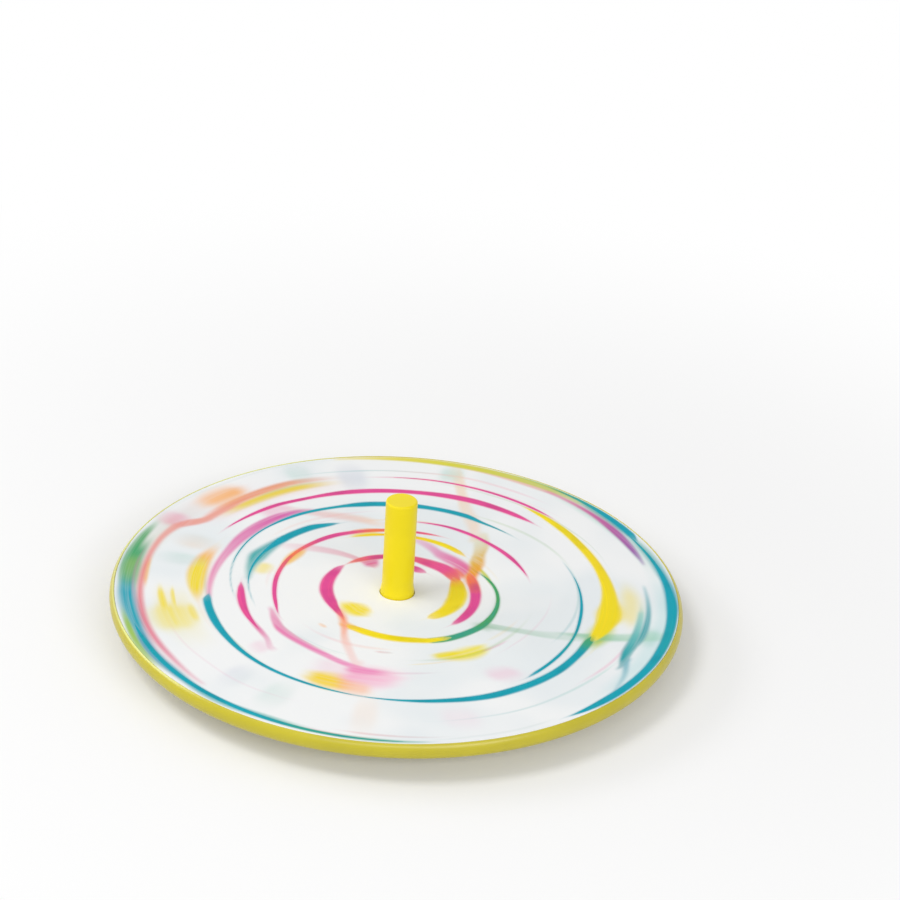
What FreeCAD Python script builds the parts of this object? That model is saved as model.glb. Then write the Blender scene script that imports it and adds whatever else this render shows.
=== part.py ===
import FreeCAD, Part
import math
import os

# A hand-twirled spin-art top, in millimetres. +Z is up, along the spin axis.
# The origin is the lowest point of the ball tip, which is where the top stands.

# Platter
platter_diameter = 140.0     # over the rounded rim
seat_height = 9.8            # card seat above the table
plate_wall = 1.6
lip_height = 0.6             # lip above the card seat
lip_width = 1.1              # lip seen from above, out to the rim's widest point
rim_height = 3.9             # rounded outer face, lip included
rim_bulge = 0.9              # how far the rounded face stands out at its middle
rim_foot = 1.1               # flat underneath the rim
rim_draft = 0.2
lip_corner = 0.12            # bevel on the lip's inner edge

# Stiffening under the plate
rib_count = 8
rib_wall = 1.2
rib_depth_at_hub = 2.6
rib_depth_at_rim = 0.9
ring_radius = 40.0
ring_depth = 1.3
rib_root = 0.3               # how far the ribs run into what they join

# Round marks that the mould's ejector pins leave on the underside
pin_mark_diameter = 5.0
pin_mark_height = 0.15
pin_mark_radii = (24.0, 56.0)

# Hub
hub_depth = 3.2              # below the plate
hub_wall = 3.0               # outside the drive hole's corners
hub_draft = 0.4
hub_fillet = 1.0

# Ball tip and its socket
ball_diameter = 4.5
ball_clearance = 0.05        # running fit, all round
mouth_height = 1.3           # cap's mouth above the table
socket_wall = 0.9

# Spindle below the card
drive_step = 0.15            # flats of the drive section stand proud of the stem
drive_clearance = 0.02
drive_relief = 0.4           # the drive section stops short of the hub's lower face
collar_step = 0.25           # collar stands proud of the drive section's corners
collar_height = 1.4          # above the card seat
flare_height = 2.4           # collar runs out into the grip in an arc

# Finger grip
grip_height = 25.5           # above the card
grip_step = 0.27             # grip is slimmer than the collar
grip_round = 0.5             # top edge

# Nose cap
cap_clearance = 0.05         # on the stem
cap_wall = 3.0               # flange outside the stem
cap_flange = 0.8
cap_mouth_wall = 0.95
cap_round = 0.4
cap_floor_gap = 0.05         # below the stem's end
bead_height = 0.15
bead_half_width = 0.45
bead_drop = 1.1              # bead centre below the hub

# Art card
card_thickness = 0.5
card_edge_gap = 0.15
card_hole_clearance = 0.2    # over the collar

# Sizes that follow from the ones above
rim_radius = platter_diameter / 2
lip_inner_radius = rim_radius - lip_width
lip_top = seat_height + lip_height
rim_bottom = lip_top - rim_height
plate_under = seat_height - plate_wall
hub_bottom = plate_under - hub_depth
ball_radius = ball_diameter / 2
socket_radius = ball_radius + ball_clearance
stem_radius = socket_radius + socket_wall
drive_flat = stem_radius + drive_step
drive_corner = drive_flat / math.cos(math.pi / 6)
hole_flat = drive_flat + drive_clearance
hub_radius = hole_flat / math.cos(math.pi / 6) + hub_wall
collar_radius = drive_corner + collar_step
grip_radius = collar_radius - grip_step
card_top = seat_height + card_thickness
card_hole_radius = collar_radius + card_hole_clearance
card_radius = lip_inner_radius - card_edge_gap
bead_level = hub_bottom - bead_drop


def turned(start, *steps):
    # Solid of revolution. A step is (r, z) for a straight line,
    # or (r_middle, z_middle, r, z) for an arc through its middle point.
    edges = []
    here = FreeCAD.Vector(start[0], 0, start[1])
    for step in steps:
        there = FreeCAD.Vector(step[-2], 0, step[-1])
        if len(step) == 4:
            middle = FreeCAD.Vector(step[0], 0, step[1])
            edges.append(Part.Arc(here, middle, there).toShape())
        else:
            edges.append(Part.LineSegment(here, there).toShape())
        here = there
    face = Part.Face(Part.Wire(edges))
    return face.revolve(FreeCAD.Vector(0, 0, 0), FreeCAD.Vector(0, 0, 1), 360)


def quarter(centre_r, centre_z, radius, angle_deg):
    # Point on a circle in the profile plane; 0 degrees points outwards, 90 points up.
    angle = math.radians(angle_deg)
    return centre_r + radius * math.cos(angle), centre_z + radius * math.sin(angle)


def hexagonal(flat, low, high):
    corners = []
    for index in range(7):
        angle = math.radians(60 * index)
        reach = flat / math.cos(math.pi / 6)
        corners.append(FreeCAD.Vector(reach * math.cos(angle), reach * math.sin(angle), low))
    return Part.Face(Part.makePolygon(corners)).extrude(FreeCAD.Vector(0, 0, high - low))


def around(shape, count, first_deg=0.0):
    copies = []
    for index in range(count):
        copy = shape.copy()
        copy.rotate(FreeCAD.Vector(0, 0, 0), FreeCAD.Vector(0, 0, 1), first_deg + 360.0 * index / count)
        copies.append(copy)
    return copies


def platter_plate():
    face_radius = rim_radius - rim_bulge
    foot_inner = face_radius - rim_foot
    hub_root = hub_radius + hub_draft
    return turned(
        (0, seat_height),
        (lip_inner_radius, seat_height),
        (lip_inner_radius, lip_top - lip_corner),
        (lip_inner_radius + lip_corner, lip_top),
        (face_radius, lip_top),
        (rim_radius, lip_top - rim_height / 2, face_radius, rim_bottom),
        (foot_inner, rim_bottom),
        (foot_inner - rim_draft, plate_under),
        (hub_root + hub_fillet, plate_under),
        (*quarter(hub_root + hub_fillet, plate_under - hub_fillet, hub_fillet, 135),
         hub_root, plate_under - hub_fillet),
        (hub_radius, hub_bottom),
        (0, hub_bottom),
        (0, seat_height),
    )


def radial_rib():
    inner = hub_radius - rib_root
    outer = rim_radius - rim_bulge - rim_foot + rib_root
    top = plate_under + rib_root
    corners = [
        FreeCAD.Vector(inner, -rib_wall / 2, top),
        FreeCAD.Vector(outer, -rib_wall / 2, top),
        FreeCAD.Vector(outer, -rib_wall / 2, plate_under - rib_depth_at_rim),
        FreeCAD.Vector(inner, -rib_wall / 2, plate_under - rib_depth_at_hub),
    ]
    face = Part.Face(Part.makePolygon(corners + corners[:1]))
    return face.extrude(FreeCAD.Vector(0, rib_wall, 0))


def ring_rib():
    inner = ring_radius - rib_wall / 2
    outer = ring_radius + rib_wall / 2
    low = plate_under - ring_depth
    high = plate_under + rib_root
    return turned((inner, low), (outer, low), (outer, high), (inner, high), (inner, low))


def pin_marks():
    marks = []
    for radius in pin_mark_radii:
        centre = FreeCAD.Vector(radius, 0, plate_under - pin_mark_height)
        mark = Part.makeCylinder(pin_mark_diameter / 2, pin_mark_height + rib_root, centre)
        marks += around(mark, rib_count, 180.0 / rib_count)
    return marks


def platter():
    ribs = around(radial_rib(), rib_count) + [ring_rib()]
    solid = platter_plate().fuse(ribs + pin_marks())
    solid = solid.cut(hexagonal(hole_flat, hub_bottom, seat_height))
    return solid.removeSplitter()


def finger_peg():
    collar_top = seat_height + collar_height
    flare_radius = (flare_height ** 2 + grip_step ** 2) / (2 * grip_step)
    flare_middle = flare_radius - math.sqrt(flare_radius ** 2 - (flare_height / 2) ** 2)
    top = card_top + grip_height
    stem = turned(
        (0, ball_radius),
        (stem_radius, ball_radius),
        (stem_radius, bead_level - bead_half_width),
        (stem_radius + bead_height, bead_level, stem_radius, bead_level + bead_half_width),
        (stem_radius, seat_height),
        (0, seat_height),
        (0, ball_radius),
    )
    drive = hexagonal(drive_flat, hub_bottom + drive_relief, seat_height)
    grip = turned(
        (0, seat_height),
        (collar_radius, seat_height),
        (collar_radius, collar_top),
        (grip_radius + flare_middle, collar_top + flare_height / 2,
         grip_radius, collar_top + flare_height),
        (grip_radius, top - grip_round),
        (*quarter(grip_radius - grip_round, top - grip_round, grip_round, 45),
         grip_radius - grip_round, top),
        (0, top),
        (0, seat_height),
    )
    socket = Part.makeSphere(socket_radius, FreeCAD.Vector(0, 0, ball_radius))
    return stem.fuse([drive, grip]).cut(socket).removeSplitter()


def nose_cap():
    bore = stem_radius + cap_clearance
    flange_radius = stem_radius + cap_wall
    floor = ball_radius - cap_floor_gap
    floor_radius = math.sqrt(socket_radius ** 2 - cap_floor_gap ** 2)
    mouth_radius = math.sqrt(socket_radius ** 2 - (ball_radius - mouth_height) ** 2)
    tip_outer = mouth_radius + cap_mouth_wall
    seat_angle = (math.asin(-cap_floor_gap / socket_radius)
                  + math.asin((mouth_height - ball_radius) / socket_radius)) / 2
    return turned(
        (bore, hub_bottom),
        (bore, bead_level + bead_half_width),
        (bore + bead_height, bead_level, bore, bead_level - bead_half_width),
        (bore, floor),
        (floor_radius, floor),
        (*quarter(0, ball_radius, socket_radius, math.degrees(seat_angle)), mouth_radius, mouth_height),
        (tip_outer - cap_round, mouth_height),
        (*quarter(tip_outer - cap_round, mouth_height + cap_round, cap_round, -45),
         tip_outer, mouth_height + cap_round),
        (flange_radius, hub_bottom - cap_flange),
        (flange_radius, hub_bottom),
        (bore, hub_bottom),
    )


def tip_ball():
    return Part.makeSphere(ball_radius, FreeCAD.Vector(0, 0, ball_radius))


def art_card():
    low = FreeCAD.Vector(0, 0, seat_height)
    disc = Part.makeCylinder(card_radius, card_thickness, low)
    return disc.cut(Part.makeCylinder(card_hole_radius, card_thickness, low))


pieces = {
    "platter": platter,
    "finger_peg": finger_peg,
    "nose_cap": nose_cap,
    "tip_ball": tip_ball,
    "art_card": art_card,
}

os.makedirs("parts", exist_ok=True)
for name, make in pieces.items():
    shape = make()
    shape.exportStep("parts/" + name + ".step")
    print(name, "valid", shape.isValid(), "solids", len(shape.Solids), "volume", round(shape.Volume, 1))
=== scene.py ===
import math
import random
import bmesh
import bpy
import numpy as np
from mathutils import Matrix, Vector, noise


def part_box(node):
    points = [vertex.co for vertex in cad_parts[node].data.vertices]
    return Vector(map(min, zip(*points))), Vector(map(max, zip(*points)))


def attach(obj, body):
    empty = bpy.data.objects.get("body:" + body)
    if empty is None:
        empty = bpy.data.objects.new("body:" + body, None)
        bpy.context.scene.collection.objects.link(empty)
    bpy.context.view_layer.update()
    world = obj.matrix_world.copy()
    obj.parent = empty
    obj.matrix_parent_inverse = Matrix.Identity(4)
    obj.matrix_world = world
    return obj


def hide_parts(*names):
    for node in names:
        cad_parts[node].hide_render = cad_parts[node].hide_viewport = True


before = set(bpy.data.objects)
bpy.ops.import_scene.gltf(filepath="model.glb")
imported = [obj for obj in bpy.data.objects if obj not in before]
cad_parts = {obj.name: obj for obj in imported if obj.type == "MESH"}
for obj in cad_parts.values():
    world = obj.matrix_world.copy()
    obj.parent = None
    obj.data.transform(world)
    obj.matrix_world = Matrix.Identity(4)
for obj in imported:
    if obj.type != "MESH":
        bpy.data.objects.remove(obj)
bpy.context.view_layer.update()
print("frame loaded:", ", ".join(sorted(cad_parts)))

mm = 0.001
weldGap = 0.001 * mm  # points closer than this are merged
cardLow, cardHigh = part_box("art_card")
cardTop = cardHigh.z


# helpers for colours and node trees

def tone(red, green, blue):  # screen values 0 to 255 to a linear colour
    linear = [((c / 255 + 0.055) / 1.055) ** 2.4 if c > 10 else c / 255 / 12.92 for c in (red, green, blue)]
    return (*linear, 1.0)


def shaded(colour, level):  # the same colour lighter or darker
    return tuple(min(1.0, c * level) for c in colour[:3]) + (1.0,)


def feed(tree, socket, value):  # a socket is linked, anything else is set
    if isinstance(value, bpy.types.NodeSocket):
        tree.links.new(value, socket)
    else:
        socket.default_value = value


def addMath(tree, operation, first, second=None, clamp=False):
    node = tree.nodes.new("ShaderNodeMath")
    node.operation = operation
    node.use_clamp = clamp
    feed(tree, node.inputs[0], first)
    if second is not None:
        feed(tree, node.inputs[1], second)
    return node.outputs[0]


def addRange(tree, value, fromLow, fromHigh, toLow, toHigh):  # smooth ramp between two values
    node = tree.nodes.new("ShaderNodeMapRange")
    node.interpolation_type = "SMOOTHSTEP"
    for name, given in (("Value", value), ("From Min", fromLow), ("From Max", fromHigh),
                        ("To Min", toLow), ("To Max", toHigh)):
        feed(tree, node.inputs[name], given)
    return node.outputs["Result"]


def addNoise(tree, vector, scale, detail=2.0, roughness=0.5):
    node = tree.nodes.new("ShaderNodeTexNoise")
    feed(tree, node.inputs["Vector"], vector)
    feed(tree, node.inputs["Scale"], scale)
    feed(tree, node.inputs["Detail"], detail)
    feed(tree, node.inputs["Roughness"], roughness)
    return node.outputs["Fac"]


def addMix(tree, factor, first, second):
    node = tree.nodes.new("ShaderNodeMix")
    node.data_type = "RGBA"
    feed(tree, node.inputs[0], factor)
    feed(tree, node.inputs[6], first)
    feed(tree, node.inputs[7], second)
    return node.outputs[2]


def addVector(tree, x, y, z):
    node = tree.nodes.new("ShaderNodeCombineXYZ")
    for socket, given in zip(node.inputs, (x, y, z)):
        feed(tree, socket, given)
    return node.outputs[0]


def addBump(tree, height, strength, depth):  # depth in millimetres
    node = tree.nodes.new("ShaderNodeBump")
    feed(tree, node.inputs["Height"], height)
    feed(tree, node.inputs["Strength"], strength)
    feed(tree, node.inputs["Distance"], depth * mm)
    return node.outputs["Normal"]


def addAttribute(tree, name):
    node = tree.nodes.new("ShaderNodeAttribute")
    node.attribute_name = name
    return node.outputs


def newMaterial(name):
    material = bpy.data.materials.new(name)
    material.use_nodes = True
    tree = material.node_tree
    shader = next(n for n in tree.nodes if n.type == "BSDF_PRINCIPLED")
    return material, tree, shader


def objectPlace(tree):  # object coordinates in millimetres
    coordinate = tree.nodes.new("ShaderNodeTexCoord")
    scale = tree.nodes.new("ShaderNodeVectorMath")
    scale.operation = "SCALE"
    feed(tree, scale.inputs[0], coordinate.outputs["Object"])
    feed(tree, scale.inputs["Scale"], 1 / mm)
    return scale.outputs[0]


def splitPlace(tree, place):  # the x, y and z of a place
    node = tree.nodes.new("ShaderNodeSeparateXYZ")
    feed(tree, node.inputs[0], place)
    return node.outputs[:]


def spinTurn(tree, place):  # turn about the spin axis, 0 to 1
    x, y = splitPlace(tree, place)[:2]
    angle = addMath(tree, "ARCTAN2", y, x)
    return addMath(tree, "FRACT", addMath(tree, "DIVIDE", angle, 2 * math.pi))


def spinRadius(tree, place):  # distance from the spin axis
    x, y = splitPlace(tree, place)[:2]
    squares = addMath(tree, "ADD", addMath(tree, "MULTIPLY", x, x), addMath(tree, "MULTIPLY", y, y))
    return addMath(tree, "SQRT", squares)


def dragged(tree, place, alongScale, acrossScale):  # a place stretched along the turn, for streaks
    x, y = splitPlace(tree, place)[:2]
    radius = spinRadius(tree, place)
    safe = addMath(tree, "MAXIMUM", radius, 0.5)  # keeps the division sound on the axis
    unitX = addMath(tree, "MULTIPLY", addMath(tree, "DIVIDE", x, safe), alongScale)
    unitY = addMath(tree, "MULTIPLY", addMath(tree, "DIVIDE", y, safe), alongScale)
    return addVector(tree, unitX, unitY, addMath(tree, "MULTIPLY", radius, acrossScale))


# camera, light and floor

cameraLook = {
    "lens": 160.0,
    "sensor": 36.0,         # mm
    "elevation": 30.335,    # degrees above the table
    "roll": 3.0,            # right side of the platter sits lower
    "distance": 0.97698,
    "aimHeight": 0.010,
    "yaw": -0.649,          # places the platter left of and below the middle
    "pitch": 2.080,
    "nearest": 0.01,        # metres, clipping
    "farthest": 20.0,
}


def makeCamera(look):
    elevation = math.radians(look["elevation"])
    back = Vector((0, -math.cos(elevation), math.sin(elevation)))
    right = Vector((1, 0, 0))
    up = back.cross(right)
    place = back * look["distance"] + Vector((0, 0, look["aimHeight"]))
    yaw = Matrix.Rotation(math.radians(look["yaw"]), 3, up)
    right, back = yaw @ right, yaw @ back
    pitch = Matrix.Rotation(math.radians(look["pitch"]), 3, right)
    up, back = pitch @ up, pitch @ back
    roll = math.radians(look["roll"])
    right, up = right * math.cos(roll) + up * math.sin(roll), up * math.cos(roll) - right * math.sin(roll)
    data = bpy.data.cameras.new("mainCamera")
    data.lens = look["lens"]
    data.sensor_width = look["sensor"]
    data.clip_start = look["nearest"]
    data.clip_end = look["farthest"]
    camera = bpy.data.objects.new("mainCamera", data)
    bpy.context.scene.collection.objects.link(camera)
    turn = Matrix((right, up, back)).transposed().to_4x4()
    camera.matrix_world = Matrix.Translation(place) @ turn
    bpy.context.scene.camera = camera


lightLook = {
    "skyStrength": 0.45,
    "lamps": {               # place, width and height in metres, power in watts
        "keySoftbox": ((-0.60, -0.20, 1.15), 0.46, 0.46, 4.9),
        "frontStrip": ((0.22, -1.10, 0.80), 2.00, 0.24, 6.2),
        "leftStrip": ((-1.10, 0.35, 0.65), 0.90, 0.35, 4.0),
        "rightStrip": ((0.60, -1.05, 0.60), 0.60, 0.35, 1.8),
    },
}


def addSeen(tree):  # 1 for rays that show the backdrop itself, also in gloss and glass
    rays = tree.nodes.new("ShaderNodeLightPath").outputs
    seen = addMath(tree, "MAXIMUM", rays["Is Camera Ray"], rays["Is Glossy Ray"])
    return addMath(tree, "MAXIMUM", seen, rays["Is Transmission Ray"])


def makeLight(look):
    scene = bpy.context.scene
    world = bpy.data.worlds.new("studioWorld")
    world.use_nodes = True
    tree = world.node_tree
    sky = tree.nodes["Background"]
    sky.inputs["Color"].default_value = (1, 1, 1, 1)
    feed(tree, sky.inputs["Strength"], addRange(tree, addSeen(tree), 0.0, 1.0, look["skyStrength"], 1.0))
    scene.world = world
    for name, (place, width, height, power) in look["lamps"].items():
        data = bpy.data.lights.new(name, "AREA")
        data.shape = "RECTANGLE"
        data.size = width
        data.size_y = height
        data.energy = power
        lamp = bpy.data.objects.new(name, data)
        scene.collection.objects.link(lamp)
        aim = Vector(place).to_track_quat("Z", "Y").to_matrix().to_4x4()
        lamp.matrix_world = Matrix.Translation(Vector(place)) @ aim


floorLook = {
    "reach": 4.0,           # metres to each side
    "tone": (249, 249, 249),
    "roughness": 0.9,
    "shine": 0.1,
    "whiteFrom": 0.085,     # metres from the spin axis where the floor starts to turn plain white
    "whiteTo": 0.26,
    "whiteNear": 0.19,      # share of plain white under the object, so its shadow stays light
}


def makeFloor(look):
    bm = bmesh.new()
    bmesh.ops.create_grid(bm, x_segments=1, y_segments=1, size=look["reach"])
    mesh = bpy.data.meshes.new("studioFloor")
    bm.to_mesh(mesh)
    bm.free()
    floor = bpy.data.objects.new("studioFloor", mesh)
    bpy.context.scene.collection.objects.link(floor)
    material, tree, shader = newMaterial("paleFloor")
    feed(tree, shader.inputs["Base Color"], tone(*look["tone"]))
    feed(tree, shader.inputs["Roughness"], look["roughness"])
    feed(tree, shader.inputs["Specular IOR Level"], look["shine"])
    radius = spinRadius(tree, objectPlace(tree))
    far = addRange(tree, radius, look["whiteFrom"] / mm, look["whiteTo"] / mm, look["whiteNear"], 1.0)
    glow = tree.nodes.new("ShaderNodeEmission")
    glow.inputs["Strength"].default_value = 1.0
    blend = tree.nodes.new("ShaderNodeMixShader")
    feed(tree, blend.inputs[0], addMath(tree, "MULTIPLY", far, addSeen(tree)))
    feed(tree, blend.inputs[1], shader.outputs[0])
    feed(tree, blend.inputs[2], glow.outputs[0])
    output = next(n for n in tree.nodes if n.type == "OUTPUT_MATERIAL")
    feed(tree, output.inputs["Surface"], blend.outputs[0])
    mesh.materials.append(material)


makeCamera(cameraLook)
makeLight(lightLook)
makeFloor(floorLook)
scene = bpy.context.scene
scene.view_settings.view_transform = "Standard"
print("camera, light and floor placed")


# moulded plastic and steel

mouldLook = {                  # shared by the plastic pieces; noise scales are in features per millimetre
    "cloudScale": 0.06,
    "cloudRamp": (0.35, 0.7),  # noise levels between which the deeper tone comes in
    "deep": 0.93,              # the deeper tone as a share of the plain one
    "grainScale": 0.35,
    "grainRamp": (0.3, 0.7),
    "roughSpread": (-0.01, 0.03),
    "grainBump": 0.05,
    "grainDepth": 0.03,        # mm
}
platterLook = {
    "tone": (197, 184, 22), "roughness": 0.29, "shine": 0.62,
    "stainAndHighlight": (230, 234, 140),  # thin paint dried on the lip, made pale as a painted highlight on the lit left and back
    "stainAndHighlightFrom": 92, "stainAndHighlightTo": 236, "stainAndHighlightFade": 28.8,  # degrees
    "stainAndHighlightDepth": 0.4,         # mm below the card's top where the stain and painted highlight end
    "stainAndHighlightDrag": (4.0, 0.4),   # patches along and across the turn
    "stainAndHighlightRamp": (0.35, 0.6),
    "stainAndHighlightStrength": (0.5, 0.9),
}
pegLook = {"tone": (245, 223, 8), "roughness": 0.34, "shine": 0.3}
capLook = {"tone": (226, 206, 30), "roughness": 0.42, "shine": 0.4}
ballLook = {
    "tone": (196, 198, 202), "roughness": 0.12,
    "worn": 0.8,               # worn tone as a share of the bright one
    "wornRoughness": 0.26,
    "wearScale": 1.6,
    "toneRamp": (0.45, 0.7),
    "roughRamp": (0.4, 0.7),
}


def lipStainAndHighlight(tree, place, look):  # how much of the lip the dried paint and its painted highlight cover
    height = splitPlace(tree, place)[2]
    onLip = addRange(tree, height, cardTop / mm - look["stainAndHighlightDepth"], cardTop / mm, 0.0, 1.0)
    first, last, fade = (look[key] / 360 for key in ("stainAndHighlightFrom", "stainAndHighlightTo", "stainAndHighlightFade"))
    turn = spinTurn(tree, place)
    head = addRange(tree, turn, first, first + fade, 0.0, 1.0)
    tail = addRange(tree, turn, last - fade, last, 1.0, 0.0)
    patches = addNoise(tree, dragged(tree, place, *look["stainAndHighlightDrag"]), 1.0)
    patchy = addRange(tree, patches, *look["stainAndHighlightRamp"], *look["stainAndHighlightStrength"])
    wet = addMath(tree, "MULTIPLY", onLip, patchy)
    return addMath(tree, "MULTIPLY", wet, addMath(tree, "MULTIPLY", head, tail))


def mouldedPlastic(name, look):
    material, tree, shader = newMaterial(name)
    place = objectPlace(tree)
    plain = tone(*look["tone"])
    cloud = addNoise(tree, place, mouldLook["cloudScale"], detail=3.0)
    deeper = addRange(tree, cloud, *mouldLook["cloudRamp"], 0.0, 1.0)
    colour = addMix(tree, deeper, plain, shaded(plain, mouldLook["deep"]))
    # the pale lip tint is dried paint and also a painted highlight on the lip's left and back
    if "stainAndHighlight" in look:
        colour = addMix(tree, lipStainAndHighlight(tree, place, look), colour, tone(*look["stainAndHighlight"]))
    feed(tree, shader.inputs["Base Color"], colour)
    grain = addNoise(tree, place, mouldLook["grainScale"])
    rough = [look["roughness"] + spread for spread in mouldLook["roughSpread"]]
    feed(tree, shader.inputs["Roughness"], addRange(tree, grain, *mouldLook["grainRamp"], *rough))
    bump = addBump(tree, grain, mouldLook["grainBump"], mouldLook["grainDepth"])
    feed(tree, shader.inputs["Normal"], bump)
    feed(tree, shader.inputs["Specular IOR Level"], look["shine"])
    return material


def polishedSteel(name, look):
    material, tree, shader = newMaterial(name)
    bright = tone(*look["tone"])
    wear = addNoise(tree, objectPlace(tree), look["wearScale"], detail=5.0, roughness=0.65)
    worn = addRange(tree, wear, *look["toneRamp"], 0.0, 1.0)
    rough = addRange(tree, wear, *look["roughRamp"], look["roughness"], look["wornRoughness"])
    feed(tree, shader.inputs["Base Color"], addMix(tree, worn, bright, shaded(bright, look["worn"])))
    feed(tree, shader.inputs["Roughness"], rough)
    feed(tree, shader.inputs["Metallic"], 1.0)
    return material


def dress(obj, material):
    obj.data.materials.clear()
    obj.data.materials.append(material)


dress(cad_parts["platter"], mouldedPlastic("platterPlastic", platterLook))
dress(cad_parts["finger_peg"], mouldedPlastic("pegPlastic", pegLook))
dress(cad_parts["nose_cap"], mouldedPlastic("capPlastic", capLook))
dress(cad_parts["tip_ball"], polishedSteel("ballSteel", ballLook))
print("plastic and steel finished")


# the art card

cardLook = {
    "tone": (242, 243, 243),
    "shade": (231, 236, 238),
    "cloudScale": 0.035,     # features per mm, as all noise scales here
    "cloudRamp": (0.42, 0.68),
    "roughness": 0.52,
    "roughSpread": (-0.06, 0.08),
    "satin": 0.12,           # how much smoother the soft paint makes the board
    "shine": 0.07,
    "fibreScale": 3.5,
    "fibreRamp": (0.3, 0.7),
    "fibreBump": 0.15,
    "fibreDepth": 0.03,      # mm
    "hole": 4.318,           # mm, clears the foot of the peg
    "swell": 0.07,           # mm, damp board grows a little towards the lip
    "edge": 0.06,            # mm, worn corner of the cut board
    "cockle": 0.10,          # mm, how far the damp card lifts in waves
    "cockleScale": 28.0,     # waves per metre
    "cockleSeed": 3.7,
    "rings": 180,            # steps of the card's top from the hole to the edge
    "underRings": 8,
    "around": 480,           # steps of a full turn
    "sharpAngle": 30,
}
cardRadius = cardHigh.x + cardLook["swell"] * mm

softLook = {                 # thin paint that soaks into the board
    "bleed": 0.45,           # mm, soft paint on either side of a stroke's edge
    "reach": 3.2,            # mm, soft paint beyond each end of a stroke
    "inside": 2.6,           # mm, how far inside the end the soft paint starts to thin out
    "wet": 0.85,             # strength of that soft paint
    "runReach": 2.6,         # mm, soft end of a slanting run
    "fade": 0.8,             # how slowly a smear fades in and out along the turn, 0 to 1
    "sway": 0.9,             # mm, how far a smear wanders from its radius
    "swayScale": 0.05,
    "ragged": 0.05,          # how uneven the ends of a smear are, as a share of its span
    "patchy": 0.25,          # how uneven its cover is
    "frayDrag": (1.5, 0.5),  # features along and across the turn of both
    "shortSpan": 15,         # degrees; a smear this short keeps its place better
    "shortLoose": 0.3,
    "thin": 0.22,            # how much of the paint a bristle streak takes away
    "streakDrag": (1.1, 0.9),
    "streakRamp": (0.28, 0.6),
    "thickRamp": (0.55, 0.95),  # cover between which the streaks come in
    "leastCover": 0.0001,    # less paint than this doesn't tint
}
hairLook = {                 # thin lines left by single bristles
    "count": 34,
    "seed": 11,
    "span": (22, 95),        # degrees
    "radius": (24, 67.5),    # mm, as drift and wide
    "drift": (-1.4, 1.8),
    "wide": (0.45, 0.9),
    "strength": (0.1, 0.32),
    "taper": 0.6,
    "peak": (0.2, 0.8),
    "soft": 0.8,
}

teal = (0, 158, 178)
green = (70, 160, 92)
leaf = (150, 190, 60)
magenta = (224, 74, 148)
pink = (238, 152, 192)
rose = (226, 110, 120)
yellow = (240, 218, 28)
orange = (246, 166, 62)
peach = (247, 206, 170)
mint = (130, 200, 180)
# grey is paint in the hairs and runs, and painted shade in the faint bars across the rings
grey = (200, 213, 212)

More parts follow.
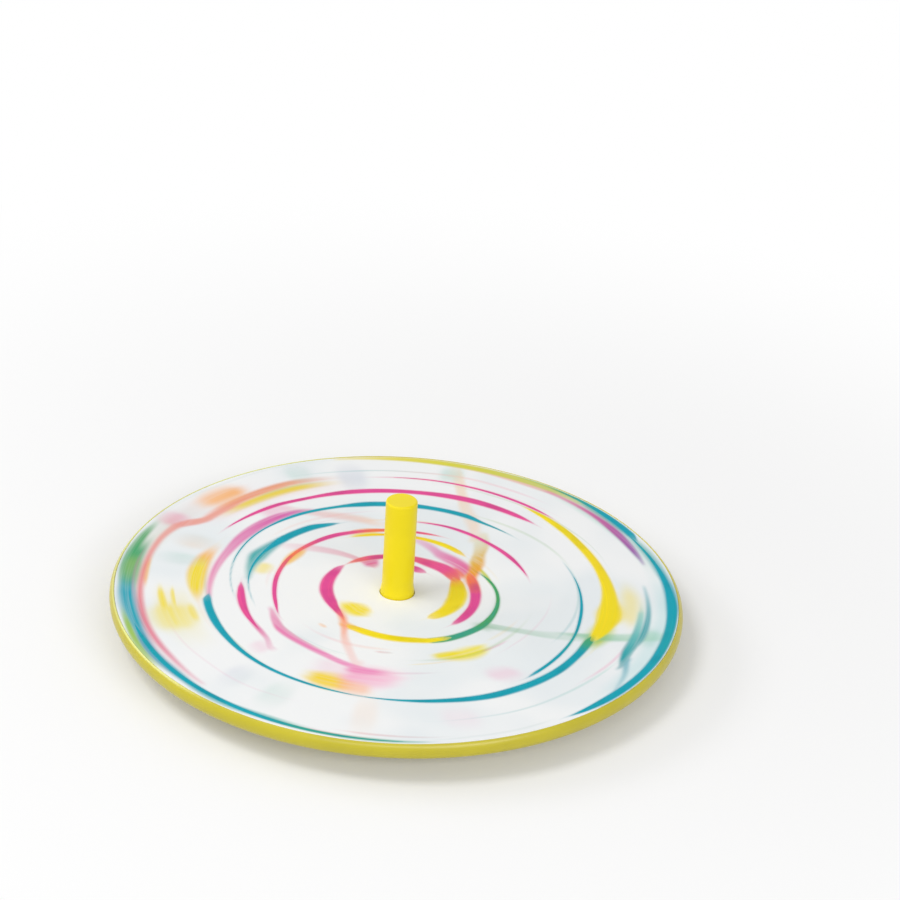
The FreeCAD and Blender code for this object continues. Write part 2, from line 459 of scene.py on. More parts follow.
# soft paint smeared by the turning card, one row for each smear: start and span in degrees from +X,
# radius, drift and half width in mm, strength, how full the ends stay, fullest place, softness, two tones
smears = [
    # broad washes
    (96, 62, 55.5, 2, 5, 0.28, 0.8, 0.5, 0.8, peach, pink),
    (118, 66, 62.5, 2, 5, 0.2, 0.8, 0.5, 0.8, pink, leaf),
    (178, 44, 55.5, -1, 7, 0.28, 0.8, 0.4, 0.8, yellow, (240, 236, 190)),
    (236, 52, 39.5, -0.6, 5.4, 0.26, 0.7, 0.3, 0.8, pink, (246, 216, 228)),
    (306, 84, 65.2, 0.6, 4.6, 0.3, 0.6, 0.5, 0.8, (150, 214, 218), (150, 214, 218)),
    (10, 50, 64.5, 0.6, 2.4, 0.32, 0.8, 0.5, 0.8, mint, mint),
    # the thick band by the left edge
    (150, 36, 66.9, -0.2, 2.0, 0.9, 0.7, 0.5, 0.8, green, green),
    (157, 36, 65.4, 0, 3.8, 0.97, 0.6, 0.5, 0.8, green, (60, 166, 130)),
    (167, 20, 65.2, 0, 3.4, 0.7, 0.6, 0.5, 0.8, (142, 182, 84), (120, 176, 110)),
    (174, 40, 65.8, 0.2, 3.6, 0.97, 0.6, 0.45, 0.8, teal, teal),
    (197, 40, 66.0, 0.8, 2.3, 0.85, 0.6, 0.3, 0.8, (40, 130, 170), teal),
    (214, 46, 66.8, 0.6, 1.7, 0.75, 0.7, 0.5, 0.8, teal, mint),
    (188, 34, 68.0, 0.2, 1.3, 0.9, 0.6, 0.5, 0.8, leaf, leaf),
    (250, 32, 67.7, 0.4, 1.2, 0.65, 0.6, 0.4, 0.8, green, mint),
    (166, 20, 61.4, 0, 1.2, 0.75, 0.6, 0.5, 0.8, (240, 200, 80), orange),
    # yellow left of the middle
    (153, 44, 48.7, 0.4, 3.5, 0.95, 0.4, 0.5, 0.8, orange, (240, 200, 70)),
    (162, 33, 49.0, 0.3, 3.1, 0.98, 0.4, 0.45, 0.8, yellow, yellow),
    (188, 20, 56.6, 0, 8.4, 0.8, 0.7, 0.5, 0.9, yellow, (240, 228, 130)),
    (180, 17, 57.7, 0.2, 1.4, 0.94, 0.5, 0.6, 0.8, yellow, yellow),
    (181, 15, 54.8, 0.1, 0.8, 0.85, 0.5, 0.5, 0.8, yellow, yellow),
    (190, 14, 51.2, 0, 1.5, 0.6, 0.6, 0.5, 0.8, yellow, yellow),
    # back left: crossing pinks, orange and blue
    (99, 56, 58.9, 0.2, 2.0, 0.88, 0.6, 0.5, 0.8, (224, 152, 110), (238, 150, 110)),
    (101, 50, 56.2, -0.2, 2.5, 0.96, 0.6, 0.5, 0.8, (232, 204, 60), (234, 212, 90)),
    (127, 20, 62.6, 0.8, 6.0, 0.86, 0.6, 0.45, 1.0, orange, (250, 190, 130)),
    (118, 22, 45.4, -0.6, 1.9, 0.6, 0.6, 0.5, 0.8, (120, 150, 190), (190, 140, 200)),
    (159, 15, 34.0, 0, 3.8, 0.7, 0.6, 0.5, 1.0, yellow, (246, 230, 150)),
    (136, 31, 29.8, 0, 2.5, 0.98, 0.4, 0.42, 0.8, (240, 172, 40), (244, 196, 50)),
    (95, 24, 30.3, 0.1, 1.6, 0.92, 0.5, 0.5, 0.8, orange, orange),
    (97, 22, 28.4, 0.2, 1.7, 0.75, 0.5, 0.5, 0.9, yellow, yellow),
    (104, 26, 15.0, 0, 3.2, 0.92, 0.5, 0.5, 0.9, magenta, (232, 120, 176)),
    # front left and front
    (196, 56, 14.1, -0.9, 4.2, 1.0, 0.4, 0.5, 0.7, yellow, yellow),
    (227, 20, 20.4, 0.6, 1.9, 0.85, 0.6, 0.5, 0.8, orange, yellow),
    (239, 24, 44.8, 0.4, 5.4, 0.99, 0.4, 0.5, 0.8, (242, 214, 40), (246, 206, 70)),
    (248, 32, 41.6, -0.4, 7.0, 0.8, 0.5, 0.42, 0.9, (244, 150, 190), (246, 205, 225)),
    (250, 25, 38.5, 0, 2.4, 0.8, 0.5, 0.35, 0.9, (236, 120, 180), pink),
    (251, 16, 45.8, 1, 4.6, 0.66, 0.6, 0.5, 0.9, (250, 180, 130), (250, 196, 160)),
    (266, 26, 38.4, 0.2, 0.7, 0.35, 0.6, 0.3, 0.8, pink, grey),
    (259, 13, 29.1, 0, 0.7, 0.42, 0.6, 0.5, 0.8, rose, grey),
    (221, 9, 24.8, 0, 0.9, 0.5, 0.6, 0.5, 0.8, peach, orange),
    (256, 32, 65.4, 0.6, 0.7, 0.4, 0.6, 0.4, 0.8, rose, grey),
    (282, 36, 32.1, 0.6, 3.8, 0.98, 0.35, 0.62, 0.8, yellow, (238, 226, 80)),
    (284, 19, 31.2, 0.2, 2.1, 0.95, 0.5, 0.5, 0.8, (232, 218, 50), yellow),
    # right hand side
    (331, 24, 51.4, 0.4, 4.4, 0.92, 0.5, 0.5, 0.9, (136, 190, 70), (232, 220, 40)),
    (343, 22, 52.2, 0.1, 5.0, 0.98, 0.4, 0.5, 0.8, yellow, yellow),
    (345, 30, 56.8, 0.4, 4.6, 0.5, 0.6, 0.4, 1.0, yellow, yellow),
    (340, 24, 59.6, 0.2, 1.2, 0.55, 0.6, 0.4, 0.8, mint, mint),
    (339, 13, 63.4, 0, 2.8, 0.3, 0.8, 0.5, 0.8, mint, mint),
    (350, 30, 67.3, 0, 2.6, 0.85, 0.6, 0.4, 0.8, teal, teal),
    (6, 34, 67.2, -0.4, 2.2, 0.72, 0.6, 0.3, 0.8, teal, mint),
    (26, 32, 67.0, 0.8, 2.0, 0.72, 0.6, 0.4, 0.8, teal, green),
    (46, 24, 67.4, 0.4, 1.5, 0.75, 0.6, 0.5, 0.8, green, leaf),
    (48, 40, 65.5, 0.6, 1.3, 0.6, 0.6, 0.3, 0.8, rose, (248, 206, 150)),
    (8, 44, 24.3, -0.2, 0.9, 0.85, 0.6, 0.4, 0.8, leaf, yellow),
    (22, 28, 18.5, 0.2, 2.0, 0.9, 0.6, 0.5, 0.8, (246, 130, 60), (230, 90, 110)),
    # faint bars across the rings; their grey and blue-grey tones are painted shade
    (298, 16, 42.5, 3.0, 5.6, 0.3, 0.6, 0.5, 1.0, pink, pink),
    (217, 11, 42.6, 1.0, 4.6, 0.24, 0.6, 0.5, 1.0, pink, pink),
    (224, 11, 55.0, 2.0, 8.0, 0.26, 0.6, 0.5, 1.0, (190, 192, 220), grey),
    (236, 12, 57.0, 0, 10.0, 0.24, 0.6, 0.5, 1.0, mint, grey),
    (259, 10, 57.0, 0, 14.0, 0.2, 0.6, 0.5, 1.0, peach, peach),
    (279, 14, 57.0, 3.0, 8.0, 0.12, 0.6, 0.5, 1.0, pink, pink),
    (97, 12, 58.0, 0, 11, 0.4, 0.6, 0.5, 1.0, (192, 198, 214), (192, 198, 214)),
    (110, 10, 63.0, 0, 7, 0.3, 0.6, 0.5, 1.0, grey, mint),
    (123, 15, 49.0, 0, 4.6, 0.42, 0.6, 0.5, 1.0, pink, pink),
    (147, 10, 64.0, 0, 6.4, 0.5, 0.6, 0.5, 1.0, pink, rose),
    (153, 12, 54.0, 0, 8.0, 0.4, 0.6, 0.5, 1.0, grey, peach),
    (164, 10, 54.0, 0, 9.0, 0.28, 0.6, 0.5, 1.0, mint, grey),
    (74, 9, 62.0, 0, 7.0, 0.36, 0.6, 0.5, 1.0, mint, mint),
]

# paint thrown outwards in slanting runs: two tones, softness in mm, then knots along the run
# of turn in degrees, radius and half width in mm, strength
runs = [
    ((250, 150, 70), (244, 186, 180), 1.2,
     [(219, 17.4, 0.6, 0.8), (229, 19.2, 1.1, 1.0), (236, 21.8, 1.3, 0.95), (242, 25.6, 1.5, 0.65),
      (249, 30.0, 1.7, 0.45), (256, 36.0, 1.9, 0.4)]),
    ((226, 110, 140), (236, 170, 190), 1.4,
     [(119, 14.5, 1.6, 0.6), (125, 18.8, 2.2, 0.55), (130, 22.6, 2.4, 0.5), (137, 27.6, 2.6, 0.45),
      (143, 32.0, 2.6, 0.3), (149, 36.2, 2.4, 0.0)]),
    ((224, 88, 146), (224, 140, 196), 1.0,
     [(32, 21.0, 1.7, 0.95), (52, 21.3, 1.9, 0.9), (62, 21.8, 1.7, 0.8), (70, 23.6, 1.5, 0.65),
      (80, 26.2, 1.4, 0.45), (90, 29.5, 1.3, 0.2)]),
    (peach, rose, 1.4,
     [(98, 33.4, 1.4, 0.25), (104, 35.6, 1.8, 0.5), (112, 38.8, 1.8, 0.42), (120, 42.6, 1.8, 0.35),
      (126, 47.0, 2.0, 0.2)]),
    ((246, 150, 34), (206, 192, 84), 1.2,
     [(22, 19.2, 1.2, 1.0), (29, 20.8, 1.9, 1.0), (36, 23.8, 2.2, 1.0), (43, 26.6, 2.5, 0.9),
      (49, 31.0, 3.0, 0.55), (55, 35.0, 3.0, 0.3)]),
    (peach, (240, 205, 160), 1.8,
     [(57, 34.5, 2.4, 0.3), (62, 39.2, 2.6, 0.5), (67, 43.5, 2.8, 0.4), (72, 50.0, 3.2, 0.5),
      (75, 57.0, 3.6, 0.5), (78, 64.0, 4.0, 0.2)]),
    (green, (130, 200, 160), 2.2,
     [(326, 25.6, 1.8, 0.6), (330, 29.0, 3.6, 0.4), (333.5, 36.5, 4.6, 0.32), (337, 44.0, 4.6, 0.22),
      (340.5, 50.5, 4.2, 0.7), (343.5, 57.5, 4.4, 0.5), (347, 66.0, 4.4, 0.3)]),
    (teal, teal, 0.7,
     [(321, 66.6, 0.3, 0.4), (328, 64.4, 0.6, 0.5), (334, 61.4, 1.0, 0.8)]),
    ((10, 150, 160), (110, 200, 196), 0.6,
     [(331, 61.6, 0.4, 0.7), (334.5, 60.7, 1.0, 1.0), (338, 60.2, 1.3, 1.0), (344, 59.8, 1.0, 0.9),
      (355, 59.6, 0.8, 0.4)]),
    ((40, 156, 160), (60, 166, 180), 0.55,
     [(340, 61.1, 0.5, 0.7), (346, 61.5, 0.85, 1.0), (353, 61.5, 0.7, 0.95), (367, 61.2, 0.4, 0.4)]),
    ((0, 158, 165), (80, 176, 172), 1.1,
     [(143, 37.0, 1.2, 0.8), (151, 37.2, 1.7, 1.0), (158, 37.5, 2.1, 1.0), (165, 37.3, 1.3, 0.95),
      (174, 36.7, 0.6, 0.6)]),
    ((190, 200, 96), (234, 216, 44), 0.5,
     [(48, 66.9, 0.8, 0.6), (57, 67.2, 1.0, 0.85), (68, 67.3, 1.2, 0.98), (80, 67.5, 1.2, 1.0),
      (90, 67.8, 1.0, 0.95), (104, 68.2, 0.5, 0.5)]),
    ((238, 150, 110), (222, 112, 150), 0.8,
     [(122, 58.9, 0.8, 0.5), (133, 58.2, 1.0, 0.7), (140, 57.4, 1.0, 0.8), (147, 57.6, 1.2, 0.8),
      (151, 59.6, 1.8, 0.8), (155, 62.0, 1.2, 0.75), (162, 62.6, 0.8, 0.8), (176, 62.4, 0.7, 0.9),
      (190, 62.7, 0.75, 0.95), (204, 63.3, 0.8, 0.95), (213, 63.5, 0.7, 0.8), (226, 64.6, 0.4, 0.4)]),
    ((214, 100, 172), (232, 132, 176), 0.65,
     [(122, 44.9, 0.7, 0.4), (127, 45.8, 1.0, 0.8), (132, 46.0, 1.4, 1.0), (141, 45.7, 1.7, 1.0),
      (150, 45.4, 1.5, 1.0), (160, 45.0, 1.1, 0.95), (172, 45.3, 0.85, 0.9), (187, 45.9, 0.6, 0.7)]),
    ((226, 112, 168), (238, 140, 190), 0.6,
     [(202, 32.3, 0.6, 0.6), (210, 33.3, 1.0, 0.9), (217, 34.2, 1.2, 0.95), (230, 34.4, 1.05, 0.95),
      (241, 35.1, 0.95, 0.95), (252, 36.7, 0.95, 0.9), (262, 38.0, 0.9, 0.6)]),
    ((136, 84, 168), (226, 104, 150), 0.55,
     [(19, 63.9, 0.4, 0.6), (25, 64.1, 0.85, 1.0), (33, 64.6, 1.1, 1.0), (42, 65.2, 0.75, 0.95),
      (55, 65.9, 0.5, 0.6)]),
    ((222, 90, 156), (226, 130, 176), 0.5,
     [(205, 38.6, 0.6, 0.5), (213, 38.8, 0.7, 0.9), (219, 39.4, 0.7, 0.6), (225, 41.5, 0.9, 0.3)]),
]

# strokes that stand on the card, one row for each stroke: knots along the stroke of turn in degrees,
# radius and half width in mm, share of the second tone
tealPaint = {
    "slot": "paint_teal", "main": teal, "second": green, "film": 0.09,
    "strokes": [
        [(186.5, 45.8, 0.0, 0), (190.5, 46.6, 1.1, 0), (200, 46.9, 1.1, 0), (212, 47.4, 0.85, 0),
         (230, 48.4, 0.6, 0), (246, 48.9, 0.45, 0.05), (264, 49.7, 0.0, 0.2)],
        [(258, 49.5, 0.0, 0), (270, 50.0, 0.35, 0), (282, 50.6, 0.85, 0), (300, 51.5, 1.3, 0),
         (318, 51.3, 1.2, 0), (330, 50.6, 1.1, 0), (337, 50.3, 1.2, 0.8), (343, 50.5, 0.0, 1)],
        [(310, 48.8, 0.0, 0), (315, 48.2, 0.5, 0), (325, 47.3, 0.5, 0), (337, 46.4, 0.35, 0.3),
         (350, 45.4, 0.42, 0), (362, 45.0, 0.32, 0), (383, 44.8, 0.0, 0)],
        [(307, 67.4, 0.0, 0), (313, 67.5, 0.75, 0), (319, 67.5, 1.15, 0), (330, 67.5, 1.15, 0),
         (345, 67.3, 1.3, 0.15), (358, 67.2, 1.35, 0), (370, 66.9, 0.8, 0), (386, 66.6, 0.3, 0.2),
         (396, 66.6, 0.0, 0.3)],
        [(27, 67.0, 0.0, 0), (31, 67.4, 1.0, 0), (39, 67.6, 0.9, 0), (50, 68.0, 0.4, 0.6),
         (57, 68.1, 0.0, 1)],
        [(46, 41.4, 0.0, 0.2), (60, 41.8, 0.5, 0.1), (68, 42.8, 1.05, 0), (80, 43.3, 1.0, 0),
         (90, 43.6, 1.25, 0), (102, 43.9, 1.25, 0), (112, 43.9, 0.65, 0.1), (125, 44.1, 0.6, 0),
         (140, 43.8, 0.3, 0), (160, 42.4, 0.18, 0.1), (188, 39.9, 0.0, 0.1)],
        [(114.5, 35.9, 0.0, 0), (120, 36.3, 0.85, 0), (128, 37.0, 1.35, 0), (141, 37.0, 1.35, 0),
         (148, 37.0, 0.95, 0), (156, 37.1, 0.35, 0.1), (170, 36.8, 0.22, 0), (194, 35.6, 0.0, 0)],
        [(287, 23.6, 0.0, 1), (292, 24.0, 1.2, 0.9), (300, 24.5, 1.25, 0.9), (315, 24.9, 1.15, 0.8),
         (326, 25.2, 1.05, 1), (342, 25.0, 0.7, 0.9), (360, 24.6, 0.48, 1), (376, 23.9, 0.42, 1),
         (392, 22.5, 0.0, 0.8)],
        [(197, 65.9, 0.0, 0), (208, 66.1, 0.7, 0.1), (222, 66.6, 0.75, 0),
         (240, 67.1, 0.7, 0), (256, 67.6, 0.55, 0.6), (278, 68.1, 0.0, 0.4)],
    ],
}
magentaPaint = {
    "slot": "paint_magenta", "main": magenta, "second": (244, 126, 62), "film": 0.10,
    "strokes": [
        [(138, 17.7, 0.0, 0.1), (144, 17.7, 0.75, 0), (152, 17.5, 1.3, 0), (166, 17.4, 1.65, 0),
         (182, 17.3, 1.75, 0), (200, 17.1, 1.55, 0), (211, 17.4, 1.1, 0.05), (222, 18.1, 0.7, 0.5),
         (232, 19.6, 0.0, 1)],
        [(20, 15.6, 0.0, 1), (27, 16.0, 1.3, 0.8), (36, 16.4, 1.9, 0.5), (48, 16.7, 2.1, 0.1),
         (62, 16.5, 1.85, 0.2), (78, 16.9, 1.3, 0.4), (95, 17.2, 1.1, 0.3), (112, 17.3, 1.2, 0.35),
         (126, 17.5, 0.8, 0.7), (137, 17.7, 0.0, 0.6)],
        [(54, 12.0, 0.0, 0), (61, 12.0, 0.95, 0), (70, 12.2, 1.4, 0), (82, 12.4, 1.2, 0),
         (96, 12.6, 0.0, 0)],
        [(312, 19.8, 0.0, 0), (318, 19.7, 0.75, 0), (330, 19.5, 1.2, 0), (346, 19.35, 1.3, 0),
         (360, 19.2, 1.4, 0), (367, 19.2, 1.45, 0.5), (376, 19.3, 1.5, 0.95), (386, 19.9, 1.2, 1),
         (394, 21.0, 0.0, 1)],
        [(68, 30.2, 0.0, 0.4), (80, 30.1, 0.55, 0.4), (102, 30.4, 0.8, 0.9), (114, 30.6, 0.85, 0.2),
         (122, 30.8, 0.9, 0), (136, 30.6, 0.75, 0.3), (150, 30.4, 0.55, 1), (166, 30.0, 0.6, 0.3),
         (180, 29.9, 0.6, 0), (194, 30.3, 0.5, 0), (208, 31.6, 0.0, 0)],
        [(178, 38.2, 0.0, 0), (184, 38.1, 0.85, 0), (191, 38.3, 1.1, 0), (201, 38.6, 0.85, 0),
         (209, 38.7, 0.4, 0), (216, 39.0, 0.0, 0)],
        [(47, 50.2, 0.0, 0), (56, 50.4, 0.95, 0), (72, 50.8, 1.3, 0), (87, 50.6, 1.0, 0),
         (104, 50.7, 1.15, 0), (119, 50.5, 0.7, 0), (129, 51.0, 0.75, 0), (141, 51.0, 0.4, 0),
         (150, 51.1, 0.0, 0)],
        [(46, 55.8, 0.0, 0), (56, 56.4, 0.5, 0), (70, 57.2, 0.42, 0), (84, 57.8, 0.28, 0.1),
         (98, 57.9, 0.0, 0.1)],
        [(16, 33.5, 0.0, 0), (28, 33.7, 0.45, 0), (37, 33.9, 0.7, 0), (50, 34.3, 0.6, 0),
         (62, 35.0, 0.65, 0), (73, 35.5, 0.45, 0), (87, 35.3, 0.0, 0)],
    ],
}
yellowPaint = {
    "slot": "paint_yellow", "main": yellow, "second": (242, 168, 38), "film": 0.11,
    "strokes": [
        [(301.5, 14.2, 0.0, 0.1), (307, 14.2, 1.1, 0.1), (316, 14.3, 1.65, 0), (331, 14.5, 2.1, 0),
         (346, 14.6, 2.5, 0), (360, 14.8, 2.45, 0), (371, 15.0, 2.15, 0.1), (380, 15.4, 1.8, 0.6),
         (388, 15.8, 1.1, 1), (394, 16.1, 0.0, 1)],
        [(234, 20.7, 0.0, 0.9), (241, 20.8, 1.05, 0.4), (252, 21.2, 1.35, 0), (268, 22.1, 1.4, 0),
         (282, 23.0, 1.3, 0), (291, 23.9, 1.2, 0), (299, 24.3, 1.2, 0), (306, 24.5, 0.0, 0)],
        [(337, 50.6, 0.0, 0.1), (340, 50.9, 1.2, 0), (347, 51.6, 2.4, 0), (353, 52.1, 3.1, 0),
         (360, 52.0, 2.3, 0), (369, 52.1, 1.6, 0.05), (380, 52.3, 1.25, 0.1), (391, 52.8, 1.2, 0.05),
         (402, 53.9, 1.1, 0), (410, 54.8, 0.7, 0), (417, 55.4, 0.0, 0)],
        [(48, 25.0, 0.0, 0.4), (56, 25.7, 0.85, 0.2), (64, 26.4, 0.95, 0.05), (78, 27.3, 0.75, 0.2),
         (92, 27.9, 0.6, 0.6), (104, 28.3, 0.6, 0.2), (117, 28.6, 0.0, 0)],
    ],
}

def cockle(x, y):  # wave height of the card at a place, never below flat
    wave = noise.noise(Vector((x, y, cardLook["cockleSeed"])) * cardLook["cockleScale"])
    reach = min(1.0, math.hypot(x, y) / cardRadius)
    return cardLook["cockle"] * mm * (0.5 + 0.5 * wave) * reach ** 2


def fineHairs(look):  # smear rows drawn by chance
    draw = random.Random(look["seed"])
    pairs = ((teal, mint), (magenta, pink), (pink, peach), (yellow, orange), (green, leaf), (grey, grey))
    hairs = []
    for index in range(look["count"]):
        start, span = draw.uniform(0, 360), draw.uniform(*look["span"])
        radius, drift = draw.uniform(*look["radius"]), draw.uniform(*look["drift"])
        wide, strength = draw.uniform(*look["wide"]), draw.uniform(*look["strength"])
        peak = draw.uniform(*look["peak"])
        hairs.append((start, span, radius, drift, wide, strength, look["taper"], peak, look["soft"],
                      *pairs[index % len(pairs)]))
    return hairs


def smoothStep(share):
    share = np.clip(share, 0.0, 1.0)
    return share * share * (3 - 2 * share)


def curveThrough(knots, column, turns):  # smooth line through the knots that never swings past them
    at = np.array([knot[0] for knot in knots], float)
    value = np.array([knot[column] for knot in knots], float)
    steep = np.diff(value) / np.diff(at)
    slope = np.zeros(len(at))
    slope[0], slope[-1] = steep[0], steep[-1]
    pairs = steep[:-1] * steep[1:]
    climbing = pairs > 0
    slope[1:-1][climbing] = 2 * pairs[climbing] / (steep[:-1] + steep[1:])[climbing]
    index = np.clip(np.searchsorted(at, turns) - 1, 0, len(at) - 2)
    gap = at[index + 1] - at[index]
    share = np.clip((turns - at[index]) / gap, 0, 1)
    rest = 1 - share
    return (value[index] * (1 + 2 * share) * rest ** 2 + value[index + 1] * share ** 2 * (3 - 2 * share)
            + gap * share * rest * (slope[index] * rest - slope[index + 1] * share))


# cover of a soft line through knots that fades over a length at each end, and the turns it was read at
def knotMask(knots, soft, reach, inside, turn, pointRadius):
    start, last = knots[0][0], knots[-1][0]
    before = 30  # degrees ahead of the first knot that still belong to the line
    at = (turn - start + before) % 360 - before + start
    away = np.abs(pointRadius - curveThrough(knots, 1, at))
    mask = smoothStep((curveThrough(knots, 2, at) + soft - away) / (2 * soft))
    past = np.maximum(0, np.radians(np.maximum(start - at, at - last)) * pointRadius + inside)
    return mask * smoothStep(1 - past / (reach + inside)), at


# cover of one smear, and how far along it each point lies
def smearMask(row, turn, pointRadius, sway, fray, look):
    start, span, radius, drift, wide, strength, taper, peak, soft = row
    loose = 1.0 if span > look["shortSpan"] else look["shortLoose"]
    along = ((turn - start) % 360) / span + fray * look["ragged"] * loose
    full = smoothStep(along / peak) * smoothStep((1 - along) / (1 - peak))
    middle = radius + drift * along + sway * look["sway"] * loose
    away = np.abs(pointRadius - middle) / (wide * (taper + (1 - taper) * full))
    mask = smoothStep((1 - away) / soft) * smoothStep(full / look["fade"]) * strength
    return mask * (1 + look["patchy"] * fray * (1 - mask) * loose), along


# every layer of soft paint from the lowest up: its cover, how far along it is, and its two tones
def softLayers(turn, pointRadius, sway, fray, look):
    layers = []
    for *row, first, second in smears + fineHairs(hairLook):
        layers.append((*smearMask(row, turn, pointRadius, sway, fray, look), first, second))
    for first, second, soft, knots in runs:
        mask, at = knotMask(knots, soft, look["runReach"], 0, turn, pointRadius)
        along = (at - knots[0][0]) / (knots[-1][0] - knots[0][0])
        layers.append((mask * curveThrough(knots, 3, at), along, first, second))
    for paint in (yellowPaint, magentaPaint, tealPaint):
        for knots in paint["strokes"]:
            mask, at = knotMask(knots, look["bleed"], look["reach"], look["inside"], turn, pointRadius)
            layers.append((mask * look["wet"], curveThrough(knots, 3, at), paint["main"], paint["second"]))
    return layers


def laySmears(mesh, look):  # keeps the tone and cover of the soft paint on the points
    count = len(mesh.vertices)
    flat = np.empty(count * 3)
    mesh.vertices.foreach_get("co", flat)
    place = flat.reshape(count, 3) / mm
    pointRadius = np.hypot(place[:, 0], place[:, 1])
    turn = np.degrees(np.arctan2(place[:, 1], place[:, 0]))
    frayAlong, frayAcross = look["frayDrag"]
    sway = np.array([noise.noise(Vector(p) * look["swayScale"]) for p in place])
    fray = np.array([noise.noise(Vector((x / r * frayAlong, y / r * frayAlong, r * frayAcross)))
                     for (x, y), r in zip(place[:, :2], pointRadius)])
    shade = np.tile(tone(*cardLook["tone"])[:3], (count, 1))
    cover = np.zeros(count)
    for mask, along, first, second in softLayers(turn, pointRadius, sway, fray, look):
        share = np.clip(along, 0, 1)[:, None]
        paint = np.array(tone(*first)[:3]) * (1 - share) + np.array(tone(*second)[:3]) * share
        under = cover * (1 - mask)
        cover = under + mask
        whole = np.maximum(cover, look["leastCover"])[:, None]
        mixed = (shade * under[:, None] + paint * mask[:, None]) / whole
        shade = np.where(cover[:, None] > look["leastCover"], mixed, shade)
    layer = mesh.attributes.new("softPaint", "FLOAT_COLOR", "POINT")
    layer.data.foreach_set("color", np.column_stack((shade, cover)).ravel())


def softColour(tree, place, look):  # board with soft paint in it, and how much of it is covered
    streak = addNoise(tree, dragged(tree, place, *look["streakDrag"]), 1.0, detail=3.0, roughness=0.6)
    cloud = addNoise(tree, place, cardLook["cloudScale"])
    cloudy = addRange(tree, cloud, *cardLook["cloudRamp"], 0.0, 1.0)
    board = addMix(tree, cloudy, tone(*cardLook["tone"]), tone(*cardLook["shade"]))
    paint = addAttribute(tree, "softPaint")
    thick = addRange(tree, paint["Alpha"], *look["thickRamp"], 0.0, 1.0)  # thin paint shows no streaks
    gaps = addMath(tree, "MULTIPLY", addRange(tree, streak, *look["streakRamp"], look["thin"], 0.0), thick)
    kept = addMath(tree, "SUBTRACT", 1.0, gaps)
    cover = addMath(tree, "MULTIPLY", paint["Alpha"], kept, clamp=True)
    return addMix(tree, cover, board, paint["Color"]), cover


def cardMaterial(look):
    material, tree, shader = newMaterial("paintedCard")
    place = objectPlace(tree)
    colour, cover = softColour(tree, place, softLook)
    feed(tree, shader.inputs["Base Color"], colour)
    fibre = addNoise(tree, place, look["fibreScale"], detail=4.0, roughness=0.6)
    rough = [look["roughness"] + spread for spread in look["roughSpread"]]
    bare = addRange(tree, fibre, *look["fibreRamp"], *rough)
    satin = addMath(tree, "MULTIPLY", cover, look["satin"])
    feed(tree, shader.inputs["Roughness"], addMath(tree, "SUBTRACT", bare, satin))
    feed(tree, shader.inputs["Normal"], addBump(tree, fibre, look["fibreBump"], look["fibreDepth"]))
    feed(tree, shader.inputs["Specular IOR Level"], look["shine"])
    return material


def finishPiece(bm, name, sharpAngle):
    mesh = bpy.data.meshes.new(name)
    bm.to_mesh(mesh)
    bm.free()
    for polygon in mesh.polygons:
        polygon.use_smooth = True
    mesh.set_sharp_from_angle(angle=math.radians(sharpAngle))
    piece = bpy.data.objects.new(name, mesh)
    bpy.context.scene.collection.objects.link(piece)
    return piece


def makeCard(look):
    hole, edge = look["hole"] * mm, look["edge"] * mm
    bottom = cardLow.z
    first, last = hole + edge, cardRadius - edge
    topSteps, underSteps = look["rings"], look["underRings"]
    bm = bmesh.new()
    top = [bm.verts.new((first + (last - first) * k / topSteps, 0, cardTop)) for k in range(topSteps + 1)]
    outer = [bm.verts.new((cardRadius, 0, z)) for z in (cardTop - edge, bottom + edge)]
    under = [bm.verts.new((last + (first - last) * k / underSteps, 0, bottom))
             for k in range(underSteps + 1)]
    inner = [bm.verts.new((hole, 0, z)) for z in (bottom + edge, cardTop - edge)]
    outline = top + outer + under + inner
    for here, there in zip(outline, outline[1:] + outline[:1]):
        bm.edges.new((here, there))
    bmesh.ops.spin(bm, geom=bm.verts[:] + bm.edges[:], cent=(0, 0, 0), axis=(0, 0, 1), dvec=(0, 0, 0),
                   angle=2 * math.pi, steps=look["around"], use_merge=True)
    bmesh.ops.remove_doubles(bm, verts=bm.verts[:], dist=weldGap)
    bmesh.ops.recalc_face_normals(bm, faces=bm.faces[:])
    for v in bm.verts:
        v.co.z += cockle(v.co.x, v.co.y)
    card = finishPiece(bm, "paintedCard", look["sharpAngle"])
    laySmears(card.data, softLook)
    dress(card, cardMaterial(look))
    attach(card, "card")
    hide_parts("art_card")


makeCard(cardLook)
print("card made and smeared")


# brush strokes of paint that stand on the card

strokeLook = {
    "stepsPerDegree": 1.8,
    "fewestSteps": 40,
    "acrossSteps": 10,
    "waver": 0.14,           # how much the width changes along a stroke
    "waverScale": (0.12, 0.6),  # along in features per mm, and across
    "waverSeed": 9.0,
    "nextSeed": 7.3,         # added for each further stroke
    "edgeGap": 0.12,         # mm, kept free inside the card's edge
    "fullHalf": 0.6,         # mm, half width from which a stroke has its full height
    "flatness": 4,           # higher gives a flatter top and steeper sides
    "sink": 0.02,            # mm, set into the card so that no gap shows
    "endFade": 5.0,          # mm, a stroke turns into soft paint over this length at each end
    "sideFade": 0.35,        # the same across the stroke, as a share of its half width
    "streakDrag": (1.6, 1.8),
    "streakMix": 0.9,        # how far a streak moves the colour towards the second tone
    "light": 1.16,           # tones of thin streaks and of deep pools, as shares of the main one
    "lightRamp": (0.5, 0.72),
    "dark": 0.78,
    "darkRamp": (0.45, 0.75),
    "shadeMost": 0.7,
    "poolScale": 0.11,
    "roughRamp": (0.3, 0.7),
    "roughness": (0.34, 0.5),
    "streakBump": 0.25,
    "streakDepth": 0.05,     # mm
    "shine": 0.09,
    "sharpAngle": 60,
}


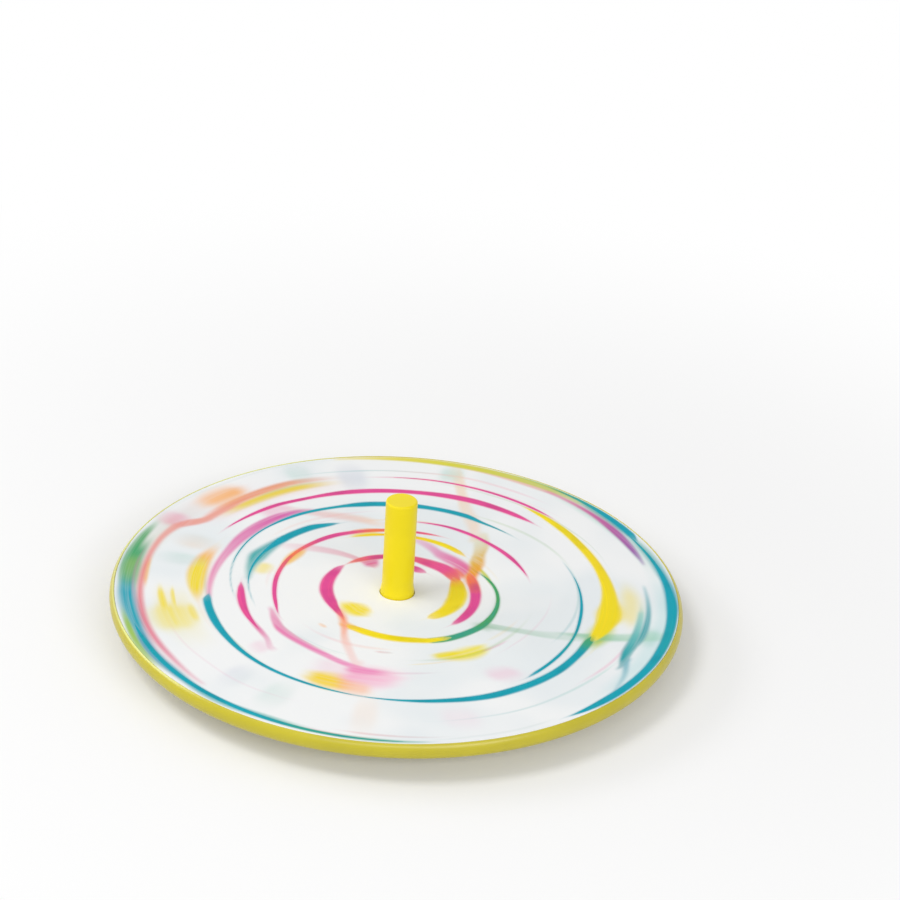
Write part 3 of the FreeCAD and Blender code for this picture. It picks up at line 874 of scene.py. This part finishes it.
def addStroke(bm, knots, film, seed, look):
    blend, body = bm.verts.layers.float["blend"], bm.verts.layers.float["body"]
    start, span = knots[0][0], knots[-1][0] - knots[0][0]
    steps = max(look["fewestSteps"], int(span * look["stepsPerDegree"]))
    grid = bmesh.ops.create_grid(bm, x_segments=steps, y_segments=look["acrossSteps"], size=1.0)["verts"]
    faces = {f for v in grid for f in v.link_faces}
    turns = np.array([start + span * (v.co.x + 1) / 2 for v in grid])
    middles, halves, shares = (curveThrough(knots, column, turns) for column in (1, 2, 3))
    waverAlong, waverAcross = look["waverScale"]
    sink = look["sink"] * mm
    for v, turn, middle, half, share in zip(grid, turns, middles, halves, shares):
        side = v.co.y
        arc = middle * math.radians(turn - start)
        spot = Vector((arc * waverAlong, side * waverAcross + look["waverSeed"], seed))
        half *= 1.0 + look["waver"] * noise.noise(spot)
        radius = min(middle + side * half, cardRadius / mm - look["edgeGap"])
        angle = math.radians(turn)
        x, y = radius * mm * math.cos(angle), radius * mm * math.sin(angle)
        dome = film * mm * min(1.0, half / look["fullHalf"]) * (1 - side ** look["flatness"]) - sink
        v.co = Vector((x, y, cardTop + cockle(x, y) + dome))
        v[blend] = share
        toEnd = middle * math.radians(min(turn - start, start + span - turn)) / look["endFade"]
        v[body] = smoothStep(toEnd) * smoothStep((1 - abs(side)) / look["sideFade"])
    copied = bmesh.ops.duplicate(bm, geom=list(grid) + list(faces))["geom"]
    under = [g for g in copied if isinstance(g, bmesh.types.BMFace)]
    for v in {v for f in under for v in f.verts}:
        v.co.z = cardTop + cockle(v.co.x, v.co.y) - sink
    bmesh.ops.reverse_faces(bm, faces=under)


def paintMaterial(name, look, stroke):
    material, tree, shader = newMaterial(name)
    place = objectPlace(tree)
    main = tone(*look["main"])
    streak = addNoise(tree, dragged(tree, place, *stroke["streakDrag"]), 1.0, detail=3.0, roughness=0.6)
    wander = addMath(tree, "MULTIPLY", addMath(tree, "SUBTRACT", streak, 0.5), stroke["streakMix"])
    share = addMath(tree, "ADD", addAttribute(tree, "blend")["Fac"], wander, clamp=True)
    colour = addMix(tree, share, main, tone(*look["second"]))
    pool = addNoise(tree, place, stroke["poolScale"])
    for pattern, ramp, level in ((streak, stroke["lightRamp"], stroke["light"]),
                                 (pool, stroke["darkRamp"], stroke["dark"])):
        amount = addRange(tree, pattern, *ramp, 0.0, stroke["shadeMost"])
        colour = addMix(tree, amount, colour, shaded(main, level))
    under = softColour(tree, place, softLook)[0]
    colour = addMix(tree, addAttribute(tree, "body")["Fac"], under, colour)
    rough = addRange(tree, streak, *stroke["roughRamp"], *stroke["roughness"])
    bump = addBump(tree, streak, stroke["streakBump"], stroke["streakDepth"])
    feed(tree, shader.inputs["Base Color"], colour)
    feed(tree, shader.inputs["Roughness"], rough)
    feed(tree, shader.inputs["Normal"], bump)
    feed(tree, shader.inputs["Specular IOR Level"], stroke["shine"])
    return material


def makePaint(name, look, stroke):  # the strokes of one paint; stroke is what all three paints share
    bm = bmesh.new()
    for layer in ("blend", "body"):  # share of the second tone, and how solid the paint is
        bm.verts.layers.float.new(layer)
    for index, knots in enumerate(look["strokes"]):
        addStroke(bm, knots, look["film"], index * stroke["nextSeed"], stroke)
    bmesh.ops.remove_doubles(bm, verts=bm.verts[:], dist=weldGap)
    paint = finishPiece(bm, name, stroke["sharpAngle"])
    laySmears(paint.data, softLook)
    dress(paint, paintMaterial(name, look, stroke))
    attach(paint, "card")


makePaint("tealPaint", tealPaint, strokeLook)
makePaint("magentaPaint", magentaPaint, strokeLook)
makePaint("yellowPaint", yellowPaint, strokeLook)
print("paint strokes laid")
